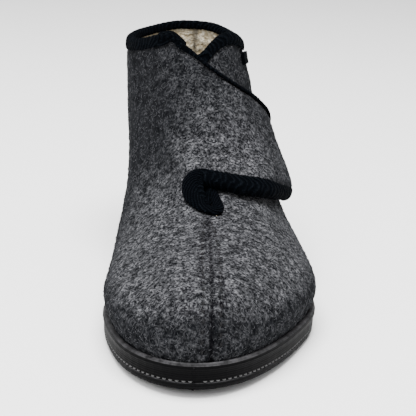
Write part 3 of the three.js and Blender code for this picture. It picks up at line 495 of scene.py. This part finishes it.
def felt_material(fibres):
    """Dark wool felt with lighter fibres, shown more where the felt faces up and a little where it faces
    forward: painted light.
    """
    material, tree, shader = new_material("felt", 0.95, 0.012, 0.01, (0.7, 0.72, 0.78, 1))
    wool = add(tree, "ShaderNodeGroup", node_tree=fibres)
    wool.inputs["Scale"].default_value = 640.0
    fine = add(tree, "ShaderNodeGroup", node_tree=fibres)
    fine.inputs["Scale"].default_value = 980.0
    fine.inputs["Stretch"].default_value = (1.0, 1.2, 0.8)
    both = add(tree, "ShaderNodeMath", {0: (wool, "Light"), 1: (fine, "Light")}, operation="ADD")
    half = add(tree, "ShaderNodeMath", {0: (both, 0)}, operation="MULTIPLY")
    half.inputs[1].default_value = 0.5
    # Painted light: the mesh's mask lets more light fibres show where the felt faces up or forward
    painted_light = add(tree, "ShaderNodeMapRange", {"Value": (attribute(tree, "painted_light"), "Fac")}, To_Min=0.11, To_Max=1.0)
    worn = add(tree, "ShaderNodeMapRange", {"Value": (wool, "Patch")}, To_Min=0.3, To_Max=1.15)
    lit = add(tree, "ShaderNodeMath", {0: (half, 0), 1: (painted_light, 0)}, operation="MULTIPLY")
    light = add(tree, "ShaderNodeMath", {0: (lit, 0), 1: (worn, 0)}, operation="MULTIPLY")
    ground = mixed(tree, (wool, "Patch"), (0.0018, 0.0022, 0.0028, 1), (0.0068, 0.0073, 0.0086, 1))
    colour = mixed(tree, (light, 0), (ground, 2), (0.15, 0.151, 0.16, 1))
    # Painted shade: darker in the centre seam and round the stitch dimples
    seam_shade_colour = mixed(tree, (attribute(tree, "painted_seam_shade"), "Fac"), (colour, 2), (0.0012, 0.0012, 0.0018, 1))
    tree.links.new(seam_shade_colour.outputs[2], shader.inputs["Base Color"])
    bump(tree, shader, (wool, "Height"), 0.9, 0.0014)
    return material


def tape_material(fibres):
    """Knitted tape: fine slanted loops over its ribs, from the distances that its UV map holds."""
    material, tree, shader = new_material("binding", 0.9, 0.012, 0.004, (0.6, 0.7, 0.9, 1))
    wool = add(tree, "ShaderNodeGroup", node_tree=fibres)
    wool.inputs["Scale"].default_value = 1500.0
    uv = add(tree, "ShaderNodeUVMap", uv_map="tape")
    apart = add(tree, "ShaderNodeSeparateXYZ", {0: (uv, 0)})
    slant = add(tree, "ShaderNodeMath", {0: (apart, 0), 2: (apart, 1)}, operation="MULTIPLY_ADD")
    slant.inputs[1].default_value = RIB_SLANT
    turns = add(tree, "ShaderNodeMath", {0: (slant, 0)}, operation="MULTIPLY")
    turns.inputs[1].default_value = 2 * math.pi
    rib = add(tree, "ShaderNodeMath", {0: (turns, 0)}, operation="SINE")
    fuzz = add(tree, "ShaderNodeMath", {0: (wool, "Light"), 2: (rib, 0)}, operation="MULTIPLY_ADD")
    fuzz.inputs[1].default_value = 1.2
    light = add(tree, "ShaderNodeMapRange", {"Value": (fuzz, 0)}, From_Min=0.6, From_Max=2.2)
    colour = mixed(tree, (light, 0), (0.0003, 0.0006, 0.0011, 1), (0.0045, 0.0063, 0.0088, 1))
    tree.links.new(colour.outputs[2], shader.inputs["Base Color"])
    bump(tree, shader, (fuzz, 0), 0.8, 0.0005)
    return material


def lining_material(fibres):
    material, tree, shader = new_material("lining", 0.95, 0.05, 0.1, (1, 0.95, 0.85, 1))
    pile = add(tree, "ShaderNodeGroup", node_tree=fibres)
    pile.inputs["Scale"].default_value = 380.0
    colour = mixed(tree, (pile, "Patch"), (0.29, 0.235, 0.15, 1), (0.47, 0.405, 0.29, 1))
    curls = mixed(tree, (pile, "Light"), (colour, 2), (0.62, 0.57, 0.46, 1))
    # Painted shade: darker along the lining's back seam
    seam_shade_colour = mixed(tree, (attribute(tree, "painted_seam_shade"), "Fac"), (curls, 2), (0.045, 0.035, 0.022, 1))
    tree.links.new(seam_shade_colour.outputs[2], shader.inputs["Base Color"])
    bump(tree, shader, (pile, "Height"), 1.0, 0.0028)
    return material


def rubber_material():
    """Moulded rubber: fine grooves that run with the sole's edge, and lighter specks on what faces up, partly
    dust and partly painted highlight on the sole's lip.
    """
    material, tree, shader = new_material("sole_rubber", 0.5, 0.025)
    place = add(tree, "ShaderNodeTexCoord")
    apart = add(tree, "ShaderNodeSeparateXYZ", {0: (place, "Object")})
    run = add(tree, "ShaderNodeMapRange", {"Value": (apart, 1)})
    for title, value in (("From Min", -0.038), ("From Max", -0.137), ("To Min", 0.0), ("To Max", 1.0)):
        run.inputs[title].default_value = value
    spring = add(tree, "ShaderNodeMath", {0: (run, 0), 1: (run, 0)}, operation="MULTIPLY")
    level = add(tree, "ShaderNodeMath", {0: (spring, 0), 2: (apart, 2)}, operation="MULTIPLY_ADD")
    level.inputs[1].default_value = -TOE_SPRING
    height = add(tree, "ShaderNodeMath", {0: (level, 0)}, operation="MULTIPLY")
    height.inputs[1].default_value = 2 * math.pi / SIDE_GROOVE_PITCH
    line = add(tree, "ShaderNodeMath", {0: (height, 0)}, operation="SINE")
    grain = add(tree, "ShaderNodeTexNoise", {"Vector": (place, "Object")}, Scale=1300.0, Detail=2.0)
    mix = add(tree, "ShaderNodeMath", {0: (grain, 0), 2: (line, 0)}, operation="MULTIPLY_ADD")
    mix.inputs[1].default_value = 0.9
    ends = {"Vector": (place, "Object")}
    dust = add(tree, "ShaderNodeTexNoise", ends, Scale=220.0, Detail=5.0, Roughness=0.7)
    plain = mixed(tree, (dust, 0), (0.0008, 0.0008, 0.001, 1), (0.0028, 0.0028, 0.003, 1))
    facing = add(tree, "ShaderNodeSeparateXYZ", {0: (place, "Normal")})
    # Partly dust and partly painted highlight: the upward faces, such as the sole's lip, are made lighter in
    # specks
    above = add(tree, "ShaderNodeMapRange", {"Value": (facing, 2)}, From_Min=0.25, From_Max=0.95)
    specks = add(tree, "ShaderNodeMapRange", {"Value": (dust, 0)}, From_Min=0.3, From_Max=0.65)
    dust_and_highlight = add(tree, "ShaderNodeMath", {0: (above, 0), 1: (specks, 0)}, operation="MULTIPLY")
    colour = mixed(tree, (dust_and_highlight, 0), (plain, 2), (0.06, 0.059, 0.062, 1))
    tree.links.new(colour.outputs[2], shader.inputs["Base Color"])
    rough = add(tree, "ShaderNodeMapRange", {"Value": (dust, 0)}, To_Min=0.45, To_Max=0.7)
    tree.links.new(rough.outputs[0], shader.inputs["Roughness"])
    bump(tree, shader, (mix, 0), 0.22, 0.0003)
    return material


def thread_material(name, colour, roughness=0.8):
    material, tree, shader = new_material(name, roughness, 0.25)
    place = add(tree, "ShaderNodeTexCoord")
    grain = add(tree, "ShaderNodeTexNoise", {"Vector": (place, "Object")}, Scale=2200.0, Detail=2.0)
    dark = tuple(c * 0.6 for c in colour[:3]) + (1,)
    mixing = mixed(tree, (grain, 0), dark, colour)
    tree.links.new(mixing.outputs[2], shader.inputs["Base Color"])
    bump(tree, shader, (grain, 0), 0.5, 0.0002)
    return material


# Pieces
def seam_place(y):
    """Where the vamp's centre seam runs, across the shoe, at a place along it."""
    path = np.array(SEAM_PATH) * MM
    order = np.argsort(path[:, 1])
    return np.interp(y, path[order, 1], path[order, 0])


def stitch_places():
    """Where the vamp's stitches lie, as seen from above: two rows that start together at the throat."""
    rows = []
    for side in (-1, 1):
        y = np.linspace(ROW_START, ROW_END, 300)
        share = np.clip((ROWS_MEET - y) / ROWS_OPEN_OVER, 0, 1) ** 0.6
        rows.append(np.stack([seam_place(y) + side * (ROW_GAP + (STITCH_ROW - ROW_GAP) * share), y], 1))
    return rows


def surface_rows(tree, rows):
    """The stitches of each row laid on the felt, from above and then down the toe, and their directions."""
    laid = []
    for row in rows:
        path = hits(tree, (((x, y, FAR), (0, 0, -1)) for x, y in row))
        heights = np.arange(path[-1][2] - MM, ROW_FOOT, -MM)
        path += hits(tree, [((path[-1][0], -FAR, z), (0, 1, 0)) for z in heights])
        laid.append(spaced(np.array(path), STITCH_PITCH))
    return laid


def make_felt(felt, lining):
    cage = cage_of("upper", "closure_flap")
    weld_flap_root(cage)
    join_quads(cage)
    bmesh.ops.recalc_face_normals(cage, faces=cage.faces)
    outside = flood(cage, FELT_SEED)
    for face in cage.faces:
        face.material_index = 0
    inside = flood(cage, LINING_SEED)
    for face in cage.faces:
        if face in inside and face not in outside:
            face.material_index = 1
    piece = piece_of("felt_upper", cage)
    subdivided(piece, FELT_LEVELS)
    relaxed(piece.data, 6)
    points, out = coordinates(piece.data), normals(piece.data)
    rows = surface_rows(ray_tree(piece), stitch_places())
    # The centre seam, its stitches and the lining's back seam pull the surface in, and these places are
    # darkened in colour as painted shade
    on_vamp = (points[:, 1] < VAMP_FROM) & ((out[:, 2] > -0.2) | (out[:, 1] < -0.5))
    seam = np.exp(-(((points[:, 0] - seam_place(points[:, 1])) / SEAM_WIDTH) ** 2)) * on_vamp
    dimple = np.zeros(len(points))
    for stitch in np.concatenate([row[0] for row in rows]):
        dimple = np.maximum(dimple, np.exp(-(((points - stitch) ** 2).sum(1) / STITCH_DIMPLE**2)))
    lined = np.zeros(len(points))
    for polygon in piece.data.polygons:
        if polygon.material_index == 1:
            for v in polygon.vertices:
                lined[v] = 1
    back = np.exp(-(((points[:, 0] - BACK_SEAM_X) / BACK_SEAM_WIDTH) ** 2))
    back *= lined * (points[:, 1] > BACK_SEAM_FROM)
    # Painted light: lighter where the felt faces up, and a quarter as much where it faces the toe end, as the
    # lamps fall on it
    painted_light = np.clip((out[:, 2] - PAINTED_LIGHT_FROM) / PAINTED_LIGHT_OVER, 0, 1) * (1 - lined)
    painted_light = np.maximum(painted_light, 0.25 * np.clip((-out[:, 1] - 0.3) / 0.6, 0, 1))
    points -= out * (SEAM_DEPTH * seam + STITCH_SINK * dimple + SEAM_DEPTH * back)[:, None]
    points += out * (FELT_NAP * RANDOM.normal(0, 1, len(points)).clip(-2, 2))[:, None]
    set_coordinates(piece.data, points)
    # Painted shade: the seams and the stitch dimples are darkened in colour
    painted_seam_shade = np.maximum(np.maximum(seam * 0.9, dimple * 0.95), back)
    for name, values in (("painted_light", painted_light), ("painted_seam_shade", painted_seam_shade)):
        layer = piece.data.attributes.new(name, "FLOAT", "POINT")
        layer.data.foreach_set("value", values.astype(np.float32))
    piece.data.materials.append(felt)
    piece.data.materials.append(lining)
    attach(piece, "root")
    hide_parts("upper", "closure_flap")
    return piece, rows


def make_fibres(piece, wool, curl):
    """Light wool fibres that stand out of the felt, and the curls of the lining's pile."""
    slots = np.empty(len(piece.data.polygons), dtype=np.int32)
    piece.data.polygons.foreach_get("material_index", slots)
    for name, slot, index, material, (count, length, radius) in (
        ("felt_fibres", "felt", 0, wool, FELT_FIBRES),
        ("pile_fibres", "lining", 1, curl, PILE_FIBRES),
    ):
        threads = loose_fibres(name, piece.data, slots == index, count, length, radius)
        threads.data.materials.append(material)
        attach(threads, "root")


def middle_line(mesh):
    """The middle line of a tape, found by how far each point is from the tape's front end along its edges."""
    points = coordinates(mesh)
    around = [[] for _ in points]
    for edge in mesh.edges:
        a, b = edge.vertices
        length = float(np.linalg.norm(points[a] - points[b]))
        around[a].append((b, length))
        around[b].append((a, length))
    front = points[points[:, 1].argmin()]
    far = np.full(len(points), np.inf)
    pending = [(0.0, int(i)) for i in np.flatnonzero(np.linalg.norm(points - front, axis=1) < 1.7 * TAPE_BIN)]
    while pending:
        distance, here = heapq.heappop(pending)
        if distance < far[here]:
            far[here] = distance
            for other, length in around[here]:
                heapq.heappush(pending, (distance + length, other))
    line = []
    for place in np.arange(0, far.max(), TAPE_BIN):
        share = np.exp(-(((far - place) / TAPE_BIN) ** 2))
        line.append((points * share[:, None]).sum(0) / share.sum())
    return rounded_path(line)


def lay_ribs(piece, path, ups=None):
    """Gives a tape its knitted ribs, and the places along and across it as a UV map."""
    length = np.concatenate([[0], np.cumsum(np.linalg.norm(np.diff(path, axis=0), axis=1))])
    tree = near_tree(path)
    points = coordinates(piece.data)
    places = np.empty((len(points), 2))
    for i, p in enumerate(points):
        _, near, across = tree.find(p)
        if ups is not None:
            side = np.cross(ups[near], path[min(near + 1, len(path) - 1)] - path[max(near - 1, 0)])
            across = np.dot(p - path[near], side / np.linalg.norm(side))
        places[i] = length[near] / RIB_PITCH, across / RIB_PITCH
    rib = np.sin(2 * math.pi * (places[:, 0] * RIB_SLANT + places[:, 1]))
    set_coordinates(piece.data, points + normals(piece.data) * (RIB_HEIGHT * rib)[:, None])
    layer = piece.data.uv_layers.new(name="tape")
    corners = np.empty(len(piece.data.loops), dtype=np.int32)
    piece.data.loops.foreach_get("vertex_index", corners)
    layer.data.foreach_set("uv", places[corners].astype(np.float32).ravel())


def raise_inner_leg(mesh, path):
    """Pushes up the inner leg of the collar's tape round the back."""
    points = coordinates(mesh)
    tree = near_tree(path)
    heart = path[path[:, 1] > LEG_FROM].mean(0)
    for p in points:
        middle = tree.find(p)[0]
        inward = Vector((heart[0] - middle.x, heart[1] - middle.y)).normalized()
        side = (p[0] - middle.x) * inward.x + (p[1] - middle.y) * inward.y
        drop = middle.z + LEG_TOP - p[2]
        if drop > 0:
            share = smooth_step(0, LEG_SIDE, side) * smooth_step(LEG_FROM, LEG_FROM + LEG_OVER, middle.y)
            p[2] += drop * (1 - INNER_LEG) * share
    set_coordinates(mesh, points)


def make_tape(name, node, material):
    cage = cage_of(node)
    join_quads(cage)
    piece = piece_of(name, cage)
    path = middle_line(piece.data)
    subdivided(piece, TAPE_LEVELS)
    relaxed(piece.data, 4)
    if node == "collar_binding":
        raise_inner_leg(piece.data, path)
    lay_ribs(piece, path)
    piece.data.materials.append(material)
    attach(piece, "root")
    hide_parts(node)


def make_insole(lining):
    cage = cage_of("insole")
    join_quads(cage)
    piece = piece_of("insole_pile", cage)
    piece.data.materials.append(lining)
    piece.data.shade_smooth()
    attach(piece, "root")
    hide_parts("insole")


def make_band(name, band, thick, felt, material):
    """A length of tape that lies along the felt."""
    band = rounded_path(np.array(band) * MM)
    path, widths = band[:, :3], band[:, 3]
    tree = ray_tree(felt)
    ups = np.array([list(tree.find_nearest(Vector(p))[1]) for p in path])
    ups = np.array([ups[max(i - 5, 0) : i + 6].mean(0) for i in range(len(ups))])
    ups /= np.linalg.norm(ups, axis=1)[:, None]
    piece = swept(name, path, ups, widths, np.full(len(path), thick * MM), 16)
    subdivided(piece, 2)
    lay_ribs(piece, path, ups)
    piece.data.materials.append(material)
    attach(piece, "root")


def vamp_stitches(felt, rows, thread):
    tree = ray_tree(felt)
    for (points, directions), name in zip(rows, ("seam_stitches_inner", "seam_stitches_outer")):
        laid, ups = [], []
        for p in points:
            hit, normal, _, _ = tree.find_nearest(Vector(p))
            laid.append(np.array(hit))
            ups.append(np.array(normal))
        piece = stitches(name, laid, directions, ups, STITCH_LENGTH, STITCH_RADIUS)
        piece.data.materials.append(thread)
        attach(piece, "root")


def smooth_step(start, end, value):
    t = min(max((value - start) / (end - start), 0), 1)
    return t * t * (3 - 2 * t)


def sole_floor(y):
    """Height of the sole's lower edge above the floor."""
    share = (SOLE_BACK - y) / SOLE_LENGTH
    spring = TOE_SPRING * max(0.0, (share - 0.66) / 0.34) ** 2
    return spring + ARCH_RISE * smooth_step(0.26, 0.4, share) * smooth_step(0.58, 0.44, share)


def sole_details(thread, rubber):
    """The moulded stitches along the sole's groove, and the parting line of its mould at the toe."""
    tree = ray_tree(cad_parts["outsole"])
    low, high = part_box("outsole")
    rays = []
    for turn in np.linspace(0, 2 * math.pi, 721)[:-1]:
        y = (low.y + high.y) / 2 - math.cos(turn) * (high.y - low.y) / 2 * 0.9995
        side = 1 if math.sin(turn) >= 0 else -1
        rays.append(((side * FAR, y, STITCH_LEVEL + sole_floor(y)), (-side, 0, 0)))
    points, directions = spaced(np.array(hits(tree, rays)), SOLE_STITCH_PITCH)
    ups = []
    for p in points:
        normal = np.array(tree.find_nearest(Vector(p))[1])
        normal[2] = 0
        ups.append(normal / max(np.linalg.norm(normal), 1e-6))
    size = (SOLE_STITCH_LENGTH, SOLE_STITCH_RADIUS)
    piece = stitches("sole_stitches", points, directions, ups, *size, sides=6, rings=4)
    piece.data.materials.append(thread)
    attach(piece, "root")
    heights = np.arange(PARTING_FOOT, PARTING_TOP, 0.4 * MM)
    ridge = np.array(hits(tree, [((PARTING_X, -FAR, z), (0, 1, 0)) for z in heights]))
    ups = np.tile((-0.1, -0.995, 0.0), (len(ridge), 1))
    widths = np.full(len(ridge), 0.6 * MM)
    widths[:3] = 1.5 * MM
    line = swept("sole_parting_line", ridge, ups, widths, np.where(widths > MM, 1.6 * MM, 0.5 * MM), 8)
    line.data.materials.append(rubber)
    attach(line, "root")


fibres = wool_group()
felt = felt_material(fibres)
tape = tape_material(fibres)
lining = lining_material(fibres)
rubber = rubber_material()
thread = thread_material("seam_thread", (0.002, 0.002, 0.003, 1))
moulded = thread_material("moulded_stitch", (0.085, 0.085, 0.085, 1), 0.5)
wool = thread_material("wool_fibre", (0.085, 0.086, 0.094, 1), 0.9)
curl = thread_material("pile_curl", (0.5, 0.455, 0.365, 1), 0.9)

upper, seam_rows = make_felt(felt, lining)
make_fibres(upper, wool, curl)
make_tape("collar_tape", "collar_binding", tape)
make_tape("flap_tape", "flap_binding", tape)
make_band("hook_tape", HOOK_BAND, HOOK_THICK, upper, tape)
make_band("slit_tape_and_shade", SLIT_TAPE_AND_SHADE, SLIT_THICK, upper, tape)
make_band("joint_tape", JOINT_BAND, JOINT_THICK, upper, tape)
make_insole(lining)
vamp_stitches(upper, seam_rows, thread)
sole_details(moulded, rubber)
for node, material in (("outsole", rubber), ("side_tab", tape)):
    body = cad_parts[node]
    body.data.materials.clear()
    body.data.materials.append(material)


# Floor, light and camera
def make_floor():
    size = 3.0
    corners = [(-size, -size, 0), (size, -size, 0), (size, size, 0), (-size, size, 0)]
    floor = new_piece("floor", corners, [(0, 1, 2, 3)])
    material, _, shader = new_material("pale_floor", 0.9, 0.1)
    shader.inputs["Base Color"].default_value = (0.95, 0.95, 0.95, 1)
    floor.data.materials.append(material)


def soft_light(name, place, size, power, target=(0, 0, 0.05)):
    light = bpy.data.lights.new(name, "AREA")
    light.shape = "DISK"
    light.size = size
    light.energy = power
    lamp = bpy.data.objects.new(name, light)
    lamp.location = place
    lamp.rotation_euler = (Vector(target) - Vector(place)).to_track_quat("-Z", "Y").to_euler()
    bpy.context.scene.collection.objects.link(lamp)


def make_light():
    soft_light("top", (-0.1, -0.25, 1.5), 1.1, 72)
    soft_light("key", (-0.6, -0.9, 0.9), 0.7, 7)
    world = bpy.data.worlds.new("room")
    world.use_nodes = True
    world.node_tree.nodes["Background"].inputs[0].default_value = (1, 1, 1, 1)
    world.node_tree.nodes["Background"].inputs[1].default_value = 0.95
    bpy.context.scene.world = world


def make_camera():
    back = Vector(
        (
            math.sin(VIEW_AZIMUTH) * math.cos(VIEW_ELEVATION),
            -math.cos(VIEW_AZIMUTH) * math.cos(VIEW_ELEVATION),
            math.sin(VIEW_ELEVATION),
        )
    )
    right = Vector((math.cos(VIEW_AZIMUTH), math.sin(VIEW_AZIMUTH), 0))
    up = back.cross(right)
    x = right * math.cos(VIEW_ROLL) + up * math.sin(VIEW_ROLL)
    y = up * math.cos(VIEW_ROLL) - right * math.sin(VIEW_ROLL)
    data = bpy.data.cameras.new("photo_view")
    data.lens = VIEW_LENS
    data.sensor_width = 36
    camera = bpy.data.objects.new("photo_view", data)
    place = VIEW_TARGET + back * VIEW_DISTANCE
    camera.matrix_world = Matrix.Translation(place) @ Matrix((x, y, back)).transposed().to_4x4()
    bpy.context.scene.collection.objects.link(camera)
    bpy.context.scene.camera = camera


make_floor()
make_light()
make_camera()
